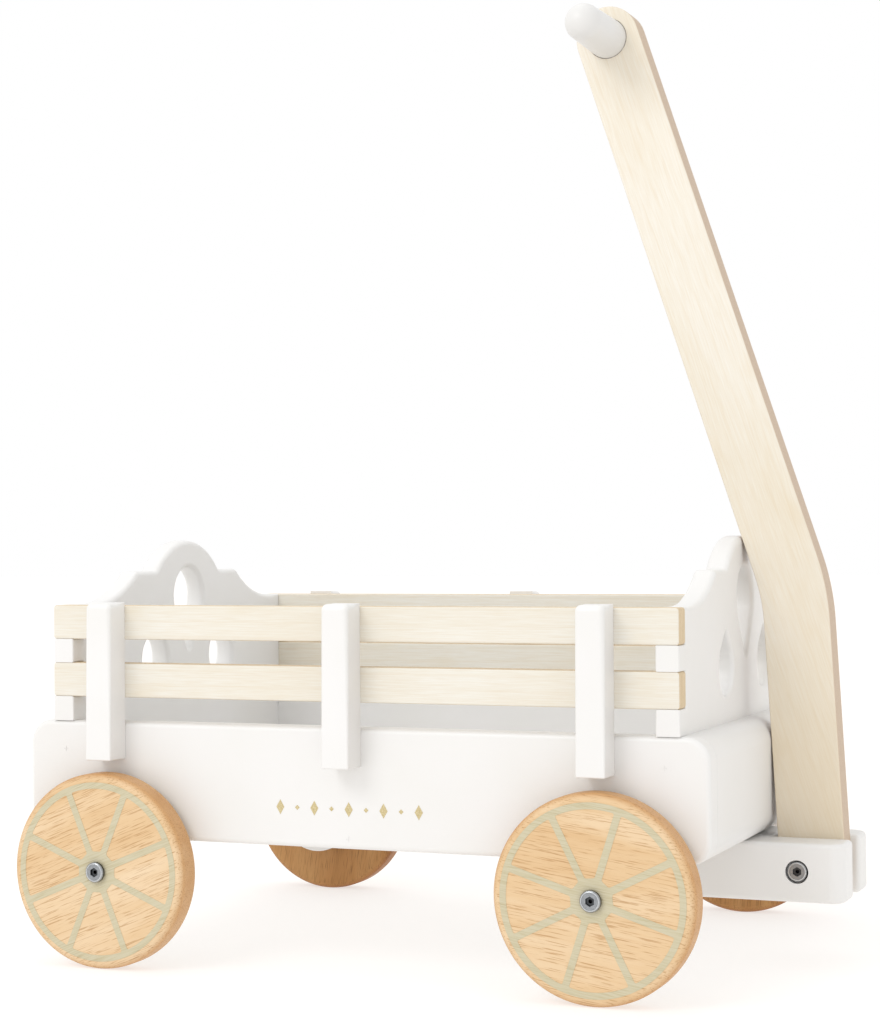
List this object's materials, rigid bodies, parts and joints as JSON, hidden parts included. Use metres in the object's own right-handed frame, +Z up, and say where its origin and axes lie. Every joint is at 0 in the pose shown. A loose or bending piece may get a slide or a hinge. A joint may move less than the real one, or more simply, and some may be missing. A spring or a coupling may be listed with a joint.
{
  "type": "toy wagon",
  "caption": "Wooden toy wagon with white tray, birch rails, arched pierced end boards, disc wheels with painted spokes and an upright pull handle that folds forward.",
  "frame": {"origin": "on the ground under the middle of the overall box", "axes": "+X towards the handle end, +Y to the wagon's left, +Z up"},
  "size_m": [0.4878, 0.352, 0.5946],
  "materials": {
    "white_paint": "satin white paint on solid wood",
    "birch_ply": "clear satin lacquer on birch plywood",
    "rubberwood": "clear satin lacquer on rubberwood",
    "sage_paint": "matte sage paint",
    "zinc_steel": "zinc plated"
  },
  "bodies": {
    "frame": {"side_board_right": "white_paint", "side_board_left": "white_paint", "front_end_block": "white_paint", "rear_end_block": "white_paint", "floor_panel": "white_paint", "end_board_front": "white_paint", "end_board_rear": "white_paint", "slat_right_upper": "birch_ply", "slat_right_lower": "birch_ply", "slat_left_upper": "birch_ply", "slat_left_lower": "birch_ply", "post_right_front": "white_paint", "post_right_middle": "white_paint", "post_right_rear": "white_paint", "post_left_front": "white_paint", "post_left_middle": "white_paint", "post_left_rear": "white_paint", "axle_bolt_front_right": "zinc_steel", "axle_bolt_front_left": "zinc_steel", "axle_bolt_rear_right": "zinc_steel", "axle_bolt_rear_left": "zinc_steel", "spacer_front_right": "zinc_steel", "spacer_front_left": "zinc_steel", "spacer_rear_right": "zinc_steel", "spacer_rear_left": "zinc_steel", "axle_nut_front_right": "zinc_steel", "axle_nut_front_left": "zinc_steel", "axle_nut_rear_right": "zinc_steel", "axle_nut_rear_left": "zinc_steel", "drawbar_fork": "white_paint", "pivot_bolt": "zinc_steel", "pivot_nut": "zinc_steel", "side_screws_right": "white_paint", "side_screws_left": "white_paint", "drawbar_screws": "zinc_steel"},
    "handle": {"handle_arm": "birch_ply", "grip_peg": "white_paint"},
    "wheel_front_right_body": {"wheel_front_right": "rubberwood", "wheel_paint_front_right": "sage_paint"},
    "wheel_front_left_body": {"wheel_front_left": "rubberwood", "wheel_paint_front_left": "sage_paint"},
    "wheel_rear_right_body": {"wheel_rear_right": "rubberwood", "wheel_paint_rear_right": "sage_paint"},
    "wheel_rear_left_body": {"wheel_rear_left": "rubberwood", "wheel_paint_rear_left": "sage_paint"}
  },
  "joints": [
    {"name": "handle_fold", "type": "hinge", "parent": "frame", "child": "handle", "pos_m": [0.21595, 0, 0.0597], "axis": [0, 1, 0], "range_deg": [0, 106]},
    {"name": "spin_front_right", "type": "hinge", "parent": "frame", "child": "wheel_front_right_body", "pos_m": [0.13255, -0.163, 0.0591], "axis": [0, 1, 0], "continuous": true},
    {"name": "spin_front_left", "type": "hinge", "parent": "frame", "child": "wheel_front_left_body", "pos_m": [0.13255, 0.163, 0.0591], "axis": [0, 1, 0], "continuous": true},
    {"name": "spin_rear_right", "type": "hinge", "parent": "frame", "child": "wheel_rear_right_body", "pos_m": [-0.18245, -0.163, 0.0591], "axis": [0, 1, 0], "continuous": true},
    {"name": "spin_rear_left", "type": "hinge", "parent": "frame", "child": "wheel_rear_left_body", "pos_m": [-0.18245, 0.163, 0.0591], "axis": [0, 1, 0], "continuous": true}
  ]
}
